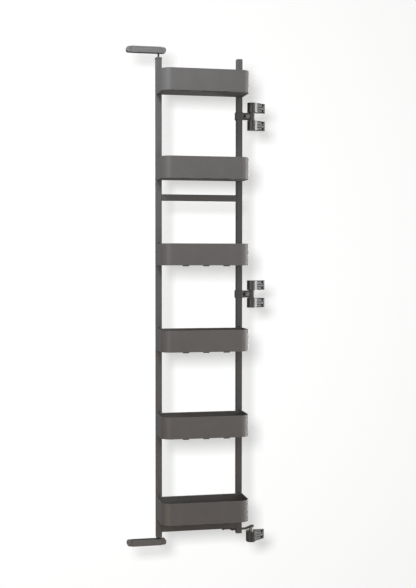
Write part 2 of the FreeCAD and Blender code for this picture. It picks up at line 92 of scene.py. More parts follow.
# Steps of a rounding that is seen close, and of a plain one.
FINE = 3
PLAIN = 2

# How the cloudy noise and the fine grain move a finish's colour, gloss and relief.
CLOUD_CONTRAST = 1.2
GRAIN_CONTRAST = 2.4
CLOUD_GLOSS = 0.08
GRAIN_GLOSS = 0.04
GLOSS_SHIFT = 0.06
RELIEF_STRENGTH = 0.6
NOISE_DETAIL = 3.0
NOISE_ROUGHNESS = 0.55

Number = Union[int, float]
Colour = tuple[float, float, float]
Input = Union["Value", Number, Sequence[float]]
MADE: dict[str, bpy.types.Material] = {}


class Value:
    """One output of a shader node, which takes part in ordinary arithmetic."""

    def __init__(self, graph: "Graph", socket: bpy.types.NodeSocket) -> None:
        """Wraps a socket.

        Args:
            graph: The graph that the socket belongs to.
            socket: The output socket.
        """
        self.graph = graph
        self.socket = socket

    def _math(self, operation: str, *terms: Input) -> "Value":
        """Adds one Math node for an operation on these terms."""
        return self.graph.node("ShaderNodeMath", {"operation": operation}, dict(enumerate(terms)))

    def __add__(self, other: Input) -> "Value":
        """self + other."""
        return self._math("ADD", self, other)

    def __radd__(self, other: Input) -> "Value":
        """other + self."""
        return self._math("ADD", other, self)

    def __sub__(self, other: Input) -> "Value":
        """self - other."""
        return self._math("SUBTRACT", self, other)

    def __rsub__(self, other: Input) -> "Value":
        """other - self."""
        return self._math("SUBTRACT", other, self)

    def __mul__(self, other: Input) -> "Value":
        """self * other."""
        return self._math("MULTIPLY", self, other)

    def __rmul__(self, other: Input) -> "Value":
        """other * self."""
        return self._math("MULTIPLY", other, self)

    def clamped(self) -> "Value":
        """The value held between 0 and 1."""
        return self.graph.node("ShaderNodeClamp", {}, {0: self})


class Graph:
    """The node tree of one material or world."""

    def __init__(self, tree: bpy.types.NodeTree) -> None:
        """Starts from an empty tree.

        Args:
            tree: The node tree to fill.
        """
        self.tree = tree
        tree.nodes.clear()

    def node(self, kind: str, settings: Optional[dict[str, Any]] = None,
             inputs: Optional[dict[Union[int, str], Input]] = None,
             output: Union[int, str] = 0) -> Value:
        """Adds one node of any type.

        Args:
            kind: The node's type.
            settings: Its own settings, such as an operation or a ramp's stops, set first.
            inputs: Values or links, by socket name or number.
            output: The output socket to return.

        Returns:
            The chosen output, or the first input of a node that has no outputs.
        """
        made = self.tree.nodes.new(kind)
        for name, setting in (settings or {}).items():
            if name == "stops":
                self._set_stops(made.color_ramp, setting)
            else:
                setattr(made, name, setting)
        for key, value in (inputs or {}).items():
            if isinstance(value, Value):
                self.tree.links.new(value.socket, made.inputs[key])
            else:
                made.inputs[key].default_value = value
        return Value(self, made.outputs[output] if made.outputs else made.inputs[0])

    @staticmethod
    def _set_stops(ramp: bpy.types.ColorRamp,
                   stops: Sequence[tuple[float, Sequence[float]]]) -> None:
        """Sets a colour ramp's stops.

        Args:
            ramp: The ramp.
            stops: Each stop's place and colour.
        """
        while len(ramp.elements) > 1:
            ramp.elements.remove(ramp.elements[0])
        for index, (place, colour) in enumerate(stops):
            element = ramp.elements[0] if index == 0 else ramp.elements.new(place)
            element.position = place
            element.color = colour

    def coordinates(self) -> Value:
        """Object coordinates, in metres, which is where a pattern sits on a piece."""
        return self.node("ShaderNodeTexCoord", {}, {}, "Object")

    def noise(self, size_mm: float, stretch: Sequence[float] = (1, 1, 1)) -> Value:
        """Cloudy noise.

        Args:
            size_mm: The size of one cloud.
            stretch: How much the pattern is drawn out along X, Y and Z.

        Returns:
            A value from 0 to 1.
        """
        scale = [1 / factor for factor in stretch]
        place = self.node("ShaderNodeMapping", {}, {"Vector": self.coordinates(), "Scale": scale})
        return self.node("ShaderNodeTexNoise", {}, {
            "Vector": place, "Scale": 1 / (size_mm * MM), "Detail": NOISE_DETAIL,
            "Roughness": NOISE_ROUGHNESS})

    def blend(self, low: Colour, high: Colour, amount: Value) -> Value:
        """A colour between two colours."""
        stops = [(0.0, (*low, 1)), (1.0, (*high, 1))]
        return self.node("ShaderNodeValToRGB", {"stops": stops}, {0: amount})


def shade(colour: Colour, factor: float) -> Colour:
    """A colour made lighter or darker by a factor."""
    return tuple(channel * factor for channel in colour)


@dataclass(frozen=True)
class Finish:
    """A surface finish with fine grain, faint mottling and its own gloss.

    Attributes:
        name: The material's name.
        colour: Its middle colour, linear.
        gloss: Roughness of the shader.
        metallic: 1 for bare metal.
        grain_mm: Size of the fine grain.
        grain_depth: Height of the grain, in millimetres.
        mottle: How far the colour strays to each side of the middle.
        mottle_mm: Size of the mottling.
        brushing: How much the grain is drawn out along X, Y and Z.
        coat: Weight of a clear coat.
    """

    name: str
    colour: Colour
    gloss: float
    metallic: float = 0.0
    grain_mm: float = 0.7
    grain_depth: float = 0.03
    mottle: float = 0.05
    mottle_mm: float = 45.0
    brushing: tuple[float, float, float] = (1, 1, 1)
    coat: float = 0.0

    def material(self) -> bpy.types.Material:
        """Gives the material, made the first time that it is asked for.

        Returns:
            The material.
        """
        if self.name not in MADE:
            MADE[self.name] = self._build()
        return MADE[self.name]

    def _build(self) -> bpy.types.Material:
        """Makes the material's nodes.

        Returns:
            The new material.
        """
        made = bpy.data.materials.new(self.name)
        made.use_nodes = True
        graph = Graph(made.node_tree)
        grain = graph.noise(self.grain_mm, self.brushing)
        clouds = graph.noise(self.mottle_mm)
        amount = ((clouds - 0.5) * CLOUD_CONTRAST + (grain - 0.5) * GRAIN_CONTRAST + 0.5).clamped()
        dark, light = shade(self.colour, 1 - self.mottle), shade(self.colour, 1 + self.mottle)
        colour = graph.blend(dark, light, amount)
        smoothest = self.gloss - GLOSS_SHIFT
        roughness = (smoothest + clouds * CLOUD_GLOSS + grain * GRAIN_GLOSS).clamped()
        bump = graph.node("ShaderNodeBump", {}, {
            "Height": grain, "Distance": self.grain_depth * MM, "Strength": RELIEF_STRENGTH})
        shader = graph.node("ShaderNodeBsdfPrincipled", {}, {
            "Base Color": colour, "Roughness": roughness, "Normal": bump,
            "Metallic": self.metallic, "Coat Weight": self.coat})
        graph.node("ShaderNodeOutputMaterial", {}, {"Surface": shader})
        return made


class Coat(Enum):
    """The finishes of this larder, named for what wears them; some carry painted shade or a painted
    highlight.
    """

    FRAME = Finish("frame_powder_coat", (0.114, 0.110, 0.107), gloss=0.50,
                   grain_mm=0.8, grain_depth=0.03, mottle=0.10)
    BASKET = Finish("basket_powder_coat", (0.125, 0.119, 0.115), gloss=0.46,
                    grain_mm=0.8, grain_depth=0.03, mottle=0.10)
    # The floors are far darker than the walls' coat: painted shade for the baskets' undersides and
    # insides.
    FLOOR = Finish("basket_floor_painted_shade", (0.051, 0.050, 0.049), gloss=0.66,
                   grain_mm=0.8, grain_depth=0.03, mottle=0.10)
    RAIL = Finish("rail_satin_coat", (0.160, 0.157, 0.154), gloss=0.42,
                  grain_mm=1.0, grain_depth=0.015, brushing=(12, 1, 1))
    # Darker than the cover: partly the channel's own tone, partly painted shade for the rail's
    # underside.
    CHANNEL = Finish("channel_coat_and_underside_shade", (0.086, 0.084, 0.082), gloss=0.55,
                     grain_mm=1.0, grain_depth=0.015, brushing=(12, 1, 1))
    CAP = Finish("cap_satin_moulding", (0.160, 0.157, 0.154), gloss=0.46,
                 grain_mm=0.9, grain_depth=0.03)
    PLUG = Finish("plug_matt_moulding", (0.120, 0.117, 0.114), gloss=0.48,
                  grain_mm=0.9, grain_depth=0.03)
    HOUSING = Finish("housing_smooth_moulding", (0.056, 0.055, 0.054), gloss=0.29,
                     grain_mm=1.1, grain_depth=0.005, coat=0.15)
    BLOCK = Finish("block_ribbed_moulding", (0.174, 0.178, 0.178), gloss=0.70,
                   grain_mm=1.1, grain_depth=0.04)
    # Near-black painted shade for the faces inside the block's grooves and recesses.
    GROOVE = Finish("block_groove_painted_shade", (0.014, 0.014, 0.014), gloss=0.80,
                    grain_mm=1.1, grain_depth=0.03)
    # Far lighter than the link's casting: a painted highlight on the round boss.
    BOSS = Finish("link_boss_painted_highlight", (0.250, 0.248, 0.246), gloss=0.40,
                  grain_mm=1.2, grain_depth=0.04)
    SHAFT = Finish("shaft_turned_steel", (0.33, 0.32, 0.31), gloss=0.34, metallic=0.7,
                   grain_mm=0.8, grain_depth=0.01, brushing=(6, 6, 1))
    LINK = Finish("link_cast_alloy", (0.079, 0.078, 0.077), gloss=0.42,
                  grain_mm=1.2, grain_depth=0.05)
    STRAP = Finish("strap_blackened_steel", (0.060, 0.060, 0.060), gloss=0.36, metallic=0.5,
                   grain_mm=0.9, grain_depth=0.02, brushing=(8, 1, 1))
    PIN = Finish("pin_blackened_steel", (0.040, 0.040, 0.041), gloss=0.40, metallic=0.5,
                 grain_mm=0.8, grain_depth=0.01, brushing=(1, 1, 6))
    SCREW = Finish("screw_black_oxide", (0.018, 0.018, 0.018), gloss=0.50, metallic=0.3,
                   grain_mm=0.6)
    SLIDE = Finish("slide_acetal", (0.035, 0.035, 0.035), gloss=0.40,
                   grain_mm=0.8, grain_depth=0.015)
    HOOK = Finish("hook_coated_steel", (0.075, 0.074, 0.073), gloss=0.44, grain_mm=0.8)

    def material(self) -> bpy.types.Material:
        """This finish's material."""
        return self.value.material()


def dress(node: str, coat: Coat) -> None:
    """Gives a CAD node that stays its finish.

    Args:
        node: The node's name.
        coat: Its finish.
    """
    piece = frame["nodes"][node]
    if not piece.material_slots:
        piece.data.materials.append(None)
    for slot in piece.material_slots:
        slot.link = "OBJECT"
        slot.material = coat.material()
    LOG.info("%s: its solid stays", node)


@dataclass
class Form:
    """A mesh under construction, shaped with the mesh operators and finished as one piece.

    Attributes:
        mesh: The mesh.
    """

    mesh: bmesh.types.BMesh = field(default_factory=bmesh.new)

    @classmethod
    def of_node(cls, node: str) -> "Form":
        """Starts from a copy of a CAD node, with its triangles merged and its flat faces joined.

        Args:
            node: The node's name.

        Returns:
            The form.
        """
        form = cls()
        form.mesh.from_mesh(frame["nodes"][node].data)
        bmesh.ops.remove_doubles(form.mesh, verts=form.mesh.verts[:], dist=MERGE)
        bmesh.ops.dissolve_limit(
            form.mesh, angle_limit=FLAT, use_dissolve_boundaries=False,
            verts=form.mesh.verts[:], edges=form.mesh.edges[:], delimit=set())
        return form

    def block(self, low: Vector, high: Vector) -> list[bmesh.types.BMVert]:
        """Adds a box between two corners and returns its corners."""
        place = Matrix.Translation((low + high) / 2) @ Matrix.Diagonal((*(high - low), 1))
        return bmesh.ops.create_cube(self.mesh, size=1, matrix=place)["verts"]

    def cylinder(self, place: Matrix, radius: float, length: float,
                 sides: int) -> list[bmesh.types.BMVert]:
        """Adds a closed cylinder along the Z of its place and returns its vertices."""
        return bmesh.ops.create_cone(
            self.mesh, cap_ends=True, cap_tris=False, segments=sides, radius1=radius,
            radius2=radius, depth=length, matrix=place)["verts"]

    def edges(self, test: Callable[[Vector, Vector], bool],
              verts: Optional[Sequence[bmesh.types.BMVert]] = None) -> list[bmesh.types.BMEdge]:
        """Finds the edges that pass a test.

        Args:
            test: Takes an edge's middle and direction and says whether the edge is wanted.
            verts: The vertices to look among, or None for the whole form.

        Returns:
            The edges.
        """
        within = set(self.mesh.verts if verts is None else verts)
        found = []
        for edge in self.mesh.edges:
            first, second = edge.verts
            if first in within and second in within:
                if test((first.co + second.co) / 2, (second.co - first.co).normalized()):
                    found.append(edge)
        return found

    def round(self, edges: Sequence[bmesh.types.BMEdge], radius: float, steps: int = FINE) -> None:
        """Rounds edges over to a radius."""
        bmesh.ops.bevel(self.mesh, geom=list(edges), affect="EDGES", offset=radius,
                        offset_type="OFFSET", segments=steps, profile=0.5, clamp_overlap=True,
                        material=-1)

    def soften(self, radius: float, steps: int = PLAIN, angle: float = 40.0) -> "Form":
        """Rounds every sharp edge over.

        Args:
            radius: The radius of the rounding.
            steps: How many faces make it.
            angle: Edges sharper than this, in degrees, are rounded.

        Returns:
            The form itself.
        """
        limit = math.radians(angle)
        sharp = [edge for edge in self.mesh.edges
                 if len(edge.link_faces) == 2 and edge.calc_face_angle(0) > limit]
        self.round(sharp, radius, steps)
        return self

    def finish(self, name: str, body: str, coat: Coat, stands_for: Sequence[str] = (),
               slot: Optional[str] = None, second: Optional[Coat] = None) -> None:
        """Turns the mesh into a piece that rides on a body.

        Args:
            name: The piece's name.
            body: The CAD body that it moves with.
            coat: Its finish.
            stands_for: The CAD nodes that it replaces.
            slot: The record's material slot; not used.
            second: The finish of the faces whose material index is 1.
        """
        bmesh.ops.recalc_face_normals(self.mesh, faces=self.mesh.faces)
        for face in self.mesh.faces:
            face.smooth = True
        for edge in self.mesh.edges:
            edge.smooth = not (len(edge.link_faces) == 2 and edge.calc_face_angle(0) > CRISP)
        data = bpy.data.meshes.new(name)
        self.mesh.to_mesh(data)
        self.mesh.free()
        piece = bpy.data.objects.new(name, data)
        bpy.context.scene.collection.objects.link(piece)
        data.materials.append(coat.material())
        if second:
            data.materials.append(second.material())
        weigh = piece.modifiers.new("flat faces stay flat", "WEIGHTED_NORMAL")
        weigh.mode = "FACE_AREA"
        weigh.keep_sharp = True
        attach(piece, body)
        if stands_for:
            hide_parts(*stands_for)
        LOG.info("%s: %d faces on %s", name, len(data.polygons), body)


@dataclass(frozen=True)
class Screw:
    """A screw head with a round socket, lying in a hole or against a face.

    Attributes:
        radius: Radius of the head.
        height: Height of the head.
        socket: Radius of the socket.
        socket_depth: Depth of the socket.
        socket_draft: How much narrower the socket is at its bottom.
        rounding: Rounding of the head's edge.
        sides: Number of sides that make it round.
    """

    radius: float
    height: float
    socket: float
    socket_depth: float = 1.2 * MM
    socket_draft: float = 0.01 * MM
    rounding: float = 0.8 * MM
    sides: int = 32

    def add(self, form: Form, seat: Vector, facing: Vector) -> None:
        """Adds the head to a form.

        Args:
            form: The form that takes it.
            seat: The middle of the head's underside.
            facing: The direction in which its top faces, of length 1.
        """
        turn = facing.to_track_quat("Z", "Y").to_matrix().to_4x4()
        place = Matrix.Translation(seat + facing * self.height / 2) @ turn
        made = form.cylinder(place, self.radius, self.height, self.sides)
        top = [face for face in {face for vert in made for face in vert.link_faces}
               if face.normal.dot(facing) > ALONG]
        top_edges = list(top[0].edges)
        bmesh.ops.inset_region(form.mesh, faces=top, thickness=self.radius - self.socket, depth=0)
        bmesh.ops.inset_region(form.mesh, faces=top, thickness=self.socket_draft,
                               depth=-self.socket_depth)
        form.round(top_edges, self.rounding)


@dataclass
class Basket:
    """One hooked basket: a bent sheet wall with a folded rim, and a floor with three tabs.

    Attributes:
        number: Its place, counted from the lowest.
        wall: Thickness of the sheet.
        front_radius: Radius of the two front corners.
        front_steps: Steps of their rounding.
        back_radius: Radius of the two back corners.
        back_steps: Steps of their rounding.
        hem_height: Height of the folded rim.
        hem: How far the fold stands into the basket.
        hem_drop: How far the fold lies under the rim.
        rim_share: Rounding of the rim, as a share of the sheet's thickness.
    """

    number: int
    wall: float = 1.5 * MM
    front_radius: float = 38 * MM
    front_steps: int = 16
    back_radius: float = 5 * MM
    back_steps: int = 5
    hem_height: float = 5 * MM
    hem: float = 1.3 * MM
    hem_drop: float = 0.2 * MM
    rim_share: float = 0.35

    @property
    def name(self) -> str:
        """The basket's name in the frame."""
        return f"basket_{self.number}"

    def _ring(self, form: Form, low: Vector, high: Vector, inset: float, thickness: float) -> None:
        """Adds an upright ring of sheet, rounded at its four corners.

        Args:
            form: The form to add to.
            low: The lowest corner of the basket's outside.
            high: The highest corner of it.
            inset: How far the ring's outer face lies inside the basket's.
            thickness: The sheet's thickness.
        """
        ring = Form()
        step = Vector((inset, inset, 0))
        low, high = low + step, high - step
        ring.block(low, high)
        middle_y = (low.y + high.y) / 2
        for front, radius, steps in ((True, self.front_radius, self.front_steps),
                                     (False, self.back_radius, self.back_steps)):
            upright = ring.edges(lambda middle, along: (
                abs(along.z) > ALONG and (middle.y < middle_y) == front
                and min(abs(middle.x - low.x), abs(middle.x - high.x)) < SAME_PLACE
                and min(abs(middle.y - low.y), abs(middle.y - high.y)) < SAME_PLACE))
            ring.round(upright, radius - inset, steps)
        level = [face for face in ring.mesh.faces if abs(face.normal.z) > MOSTLY]
        bmesh.ops.delete(ring.mesh, geom=level, context="FACES")
        bmesh.ops.recalc_face_normals(ring.mesh, faces=ring.mesh.faces)
        bmesh.ops.solidify(ring.mesh, geom=ring.mesh.faces[:], thickness=thickness)
        rim = [edge for edge in ring.mesh.edges
               if all(abs(vert.co.z - high.z) < SAME_PLACE for vert in edge.verts)
               and len(edge.link_faces) == 2 and edge.calc_face_angle(0) > SQUARE]
        ring.round(rim, thickness * self.rim_share, PLAIN)
        data = bpy.data.meshes.new("ring")
        ring.mesh.to_mesh(data)
        ring.mesh.free()
        form.mesh.from_mesh(data)
        bpy.data.meshes.remove(data)

    def build(self) -> None:
        """Builds the wall and the floor."""
        low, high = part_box(self.name + "_wall")
        form = Form()
        self._ring(form, low, high, 0, self.wall)
        self._ring(form, Vector((low.x, low.y, high.z - self.hem_height)),
                   Vector((high.x, high.y, high.z - self.hem_drop)), self.wall, self.hem)
        form.finish(self.name + "_sheet", FRAME_BODY, Coat.BASKET, [self.name + "_wall"],
                    "basket_coat")
        # The floor's dark finish is painted shade for the basket's underside and inside.
        dress(self.name + "_floor", Coat.FLOOR)


class Side(Enum):
    """Where a door rail lies: over the frame or under it."""

    TOP = "top"
    BOTTOM = "bottom"


class End(Enum):
    """An end of a door rail."""

    LEFT = "left"
    RIGHT = "right"


@dataclass
class DoorRail:
    """One door rail: the channel, its cover with two shallow flutes, two end caps and the shoe.

    Attributes:
        side: Where the rail lies.
        edge: Rounding of the cover's outer long edge.
        edge_steps: Steps of that rounding.
        flute: Width of each flute along the cover's face.
        flute_depth: Depth of the flutes.
        flute_slope: Width of a flute's sloping sides.
        flute_places: Where the flutes run, as shares of the cover's height.
        cap_gap: Width of the groove between a cap and the cover.
        neck_step: Depth of that groove.
        neck_root: How far the neck in the groove reaches into the cap.
        cap_radius: Radius of a cap's round end.
        cap_steps: Steps of that rounding.
        cap_edge: Rounding of a cap's other edges.
        cap_angle: Edges of a cap sharper than this, in degrees, are rounded.
    """

    side: Side
    edge: float = 1.4 * MM
    edge_steps: int = 4
    flute: float = 1.6 * MM
    flute_depth: float = 0.5 * MM
    flute_slope: float = 0.3 * MM
    flute_places: tuple[float, float] = (0.26, 0.74)
    cap_gap: float = 1.2 * MM
    neck_step: float = 4.0 * MM
    neck_root: float = 1.0 * MM
    cap_radius: float = 9.0 * MM
    cap_steps: int = 10
    cap_edge: float = 0.9 * MM
    cap_angle: float = 50.0

    @property
    def rail(self) -> str:
        """The name of the channel and of the body that the rail makes."""
        return f"{self.side.value}_rail"

    def _cover(self) -> None:
        """Builds the cover: a folded plate over the channel's front and outer face."""
        low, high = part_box(f"{self.rail}_cover")
        inner_low, inner_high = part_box(self.rail)
        outer_up = self.side is Side.TOP
        form = Form()
        front = form.block(low, Vector((high.x, inner_low.y, high.z)))
        if outer_up:
            form.block(Vector((low.x, inner_low.y, inner_high.z)), high)
        else:
            form.block(Vector((low.x, inner_low.y, low.z)), Vector((high.x, high.y, inner_low.z)))
        edge_z = high.z if outer_up else low.z
        corner = form.edges(lambda middle, along: (
            abs(along.x) > ALONG and middle.y < low.y + SAME_PLACE
            and abs(middle.z - edge_z) < SAME_PLACE), front)
        form.round(corner, self.edge, self.edge_steps)
        for share in self.flute_places:
            self._flute(form, low.y, low.z + (high.z - low.z) * share)
        form.finish(f"{self.side.value}_cover_plate", self.rail, Coat.RAIL,
                    [f"{self.rail}_cover"], "rail_coat")

    def _flute(self, form: Form, front_y: float, z: float) -> None:
        """Presses one shallow flute along the cover's front face.

        Args:
            form: The cover.
            front_y: Where its front face lies.
            z: Height of the flute's middle.
        """
        for offset in (-self.flute / 2, self.flute / 2):
            everything = form.mesh.verts[:] + form.mesh.edges[:] + form.mesh.faces[:]
            bmesh.ops.bisect_plane(form.mesh, geom=everything, dist=ON_CUT,
                                   plane_co=(0, 0, z + offset), plane_no=(0, 0, 1))
        strip = [face for face in form.mesh.faces if face.normal.y < -ALONG
                 and abs(face.calc_center_median().z - z) < self.flute / 2
                 and face.calc_center_median().y < front_y + SAME_PLACE]
        bmesh.ops.inset_region(form.mesh, faces=strip, thickness=self.flute_slope, depth=0,
                               use_even_offset=True)
        for vert in {vert for face in strip for vert in face.verts}:
            vert.co.y = front_y + self.flute_depth

    def _cap(self, end: End) -> None:
        """Builds one end cap with a round end, softened edges and a neck in the groove.

        Args:
            end: The end of the rail that it closes.
        """
        node = f"{self.rail}_{end.value}_cap"
        low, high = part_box(node)
        rail_low, rail_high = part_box(self.rail)
        step = Vector((0, self.neck_step, self.neck_step))
        form = Form()
        if end is End.LEFT:
            seat = rail_low.x
            high = Vector((seat - self.cap_gap, high.y, high.z))
            form.block(Vector((high.x - self.neck_root, low.y, low.z)) + step,
                       Vector((seat, high.y, high.z)) - step)
        else:
            seat = rail_high.x
            low = Vector((seat + self.cap_gap, low.y, low.z))
            form.block(Vector((seat, low.y, low.z)) + step,
                       Vector((low.x + self.neck_root, high.y, high.z)) - step)
        verts = form.block(low, high)
        end_x = low.x if end is End.LEFT else high.x
        ends = form.edges(lambda middle, along: (
            abs(along.y) > ALONG and abs(middle.x - end_x) < SAME_PLACE), verts)
        form.round(ends, self.cap_radius, self.cap_steps)
        form.soften(self.cap_edge, FINE, self.cap_angle)
        form.finish(f"{self.side.value}_{end.value}_end_cap", self.rail, Coat.CAP, [node],
                    "cap_moulding")

    def build(self) -> None:
        """Builds the rail's pieces."""
        self._cover()
        for end in End:
            self._cap(end)
        # The channel's darker finish is partly painted shade for the rail's underside.
        dress(self.rail, Coat.CHANNEL)
        dress(f"{self.side.value}_shoe", Coat.SLIDE)


@dataclass
class WallBracket:
    """One moulded bracket on the cabinet wall: a smooth housing and a ribbed block with two screws.

    Attributes:
        name: The name that its two nodes start with.
        housing_rounding: Rounding of the housing's edges.
        block_rounding: Rounding of the block's edges.
        foot_taper: How far the barrel's lower edge is drawn in, where it has one.
        screw: The wall screw's head.
        screw_spacing: Distance between the two screws.
        seat_y: How far the heads' undersides stand off the wall.
        shank_radius: Radius of the screws' shanks.
        shank_sides: Number of sides that make a shank round.
        shank_gap: How much shorter a shank is than its way to the wall.
        face_turn: How far the sloping face is turned from the front towards +X.
        foot_edge: The edge where that face ends, near the wall.
        side_skin: How far in from the block's left side its grooves start.
    """

    name: str
    housing_rounding: float = 1.3 * MM
    block_rounding: float = 0.45 * MM
    foot_taper: float = 0.0
    screw: Screw = Screw(3.9 * MM, 2.4 * MM, 1.9 * MM)
    screw_spacing: float = 22 * MM
    seat_y: float = -4 * MM
    shank_radius: float = 2.3 * MM
    shank_sides: int = 24
    shank_gap: float = 0.4 * MM
    face_turn: float = math.radians(34.8)
    foot_edge: Vector = field(default_factory=lambda: Vector((11, -4, 0)) * MM)
    side_skin: float = 0.1 * MM

    def _paint_groove_shade(self, block: Form, low: Vector, high: Vector) -> None:
        """Marks the faces inside the block's grooves and recesses, which take a near-black painted
        shade.

        Args:
            block: The block.
            low: The block's lowest corner.
            high: Its highest corner.
        """
        inward = Vector((-math.sin(self.face_turn), math.cos(self.face_turn), 0))
        skin = 2 * self.block_rounding
        for face in block.mesh.faces:
            middle = face.calc_center_median()
            deep = (middle - self.foot_edge).dot(inward) > skin and middle.y < -skin
            level = low.z + skin < middle.z < high.z - skin
            if deep and level and low.x + self.side_skin < middle.x < high.x - skin:
                face.material_index = 1

    def build(self) -> None:
        """Builds the housing, the block and the two screws."""
        housing = Form.of_node(f"{self.name}_housing")
        if self.foot_taper:
            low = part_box(f"{self.name}_housing")[0]
            foot = housing.edges(lambda middle, along: abs(middle.z - low.z) < SAME_PLACE)
            housing.round(foot, self.foot_taper, steps=1)
        housing.soften(self.housing_rounding, FINE)
        housing.finish(f"{self.name}_shell", WALL_BODY, Coat.HOUSING,
                       [f"{self.name}_housing"], "housing_moulding")
        low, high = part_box(f"{self.name}_block")
        block = Form.of_node(f"{self.name}_block").soften(self.block_rounding)
        # The faces inside the grooves take the near-black painted shade.
        self._paint_groove_shade(block, low, high)
        block.finish(f"{self.name}_ribs", WALL_BODY, Coat.BLOCK, [f"{self.name}_block"],
                     "block_moulding", Coat.GROOVE)
        heads = Form()
        for side in (-1, 1):
            z = (low.z + high.z) / 2 + side * self.screw_spacing / 2
            self.screw.add(heads, Vector((0, self.seat_y, z)), FORWARD)
            heads.cylinder(Matrix.Translation((0, self.seat_y / 2, z)) @ ALONG_Y,
                           self.shank_radius, -self.seat_y - self.shank_gap, self.shank_sides)
        heads.finish(f"{self.name}_wall_screws", WALL_BODY, Coat.SCREW)


@dataclass
class Hinge:
    """One double-knuckle hinge: two wall brackets, the pin, the link with its adjuster, the collar.

    Attributes:
        name: The hinge's name in the frame.
        axis_y: Where the hinge's axis lies, off the wall.
        arm_half: Half of the link's depth.
        boss_reach: How far the round boss on the link lies from the wall screws.
        boss_radius: Radius of the boss.
        boss_height: How far it stands out of the link.
        boss_root: How far it reaches into the link.
        boss_rounding: Rounding of its edge.
        boss_sides: Number of sides that make it round.
        adjuster: The adjuster screw's head.
        adjuster_reach: How far the adjuster lies from the wall screws.
        adjuster_depth: How far its underside lies inside the link.
        rounding: Rounding of the link's and collar's edges.
    """

    name: str
    axis_y: float = -22 * MM
    arm_half: float = 8.0 * MM
    boss_reach: float = 64.0 * MM
    boss_radius: float = 8.0 * MM
    boss_height: float = 3.0 * MM
    boss_root: float = 1.0 * MM
    boss_rounding: float = 1.2 * MM
    boss_sides: int = 48
    adjuster: Screw = Screw(4.4 * MM, 5.0 * MM, 2.4 * MM, 2.0 * MM)
    adjuster_reach: float = 77 * MM
    adjuster_depth: float = 6.8 * MM
    rounding: float = 1.0 * MM

    def build(self) -> None:
        """Builds the hinge's pieces."""
        for side in ("upper", "lower"):
            WallBracket(f"{self.name}_{side}").build()
        low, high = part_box(f"{self.name}_link")
        mid_z = (low.z + high.z) / 2
        arm_front = self.axis_y - self.arm_half
        link = Form.of_node(f"{self.name}_link").soften(self.rounding, FINE)
        link.finish(f"{self.name}_arm", FRAME_BODY, Coat.LINK, [f"{self.name}_link"],
                    "link_casting")
        boss = Form()
        boss_y = arm_front + (self.boss_root - self.boss_height) / 2
        boss.cylinder(Matrix.Translation((-self.boss_reach, boss_y, mid_z)) @ ALONG_Y,
                      self.boss_radius, self.boss_height + self.boss_root, self.boss_sides)
        boss.soften(self.boss_rounding, FINE)
        # The boss's lighter finish is a painted highlight.
        boss.finish(f"{self.name}_boss", FRAME_BODY, Coat.BOSS, (), "link_casting")
        adjuster = Form()
        seat = Vector((-self.adjuster_reach, arm_front + self.adjuster_depth, mid_z))
        self.adjuster.add(adjuster, seat, FORWARD)
        adjuster.finish(f"{self.name}_adjuster", FRAME_BODY, Coat.SCREW)
        collar = Form.of_node(f"{self.name}_collar").soften(self.rounding, FINE)
        collar.finish(f"{self.name}_clamp", FRAME_BODY, Coat.LINK, [f"{self.name}_collar"],
                      "link_casting")
        dress(f"{self.name}_pin", Coat.PIN)


@dataclass
class BottomBearing:
    """The thrust bearing under the frame, the strap that rests on it, and the plate under the sill.

    Attributes:
        foot_taper: How far the barrel's lower edge is drawn in.
        rounding: Rounding of the strap's and the plate's edges.
        screw: The head of the screws that hold the strap to the sill.
        screw_places: Where the heads hang: X and the height of the face above them.
        screw_y: How far they lie off the wall.
    """

    foot_taper: float = 3.2 * MM
    rounding: float = 0.7 * MM
    screw: Screw = Screw(4.2 * MM, 3.3 * MM, 2.2 * MM)
    screw_places: tuple[tuple[float, float], ...] = ((-156 * MM, 30.6 * MM), (-118 * MM, 26.6 * MM))
    screw_y: float = -22 * MM

    def build(self) -> None:
        """Builds the bearing's pieces."""
        WallBracket("bottom_bearing", foot_taper=self.foot_taper).build()
        for node, name in (("bearing_strap", "bearing_arm"), ("bearing_plate", "sill_plate")):
            form = Form.of_node(node).soften(self.rounding)
            form.finish(name, FRAME_BODY, Coat.STRAP, [node], "strap_steel")
        dress("bearing_shaft", Coat.SHAFT)
        heads = Form()
        for x, z in self.screw_places:
            self.screw.add(heads, Vector((x, self.screw_y, z)), DOWN)
        heads.finish("sill_screws", FRAME_BODY, Coat.SCREW)


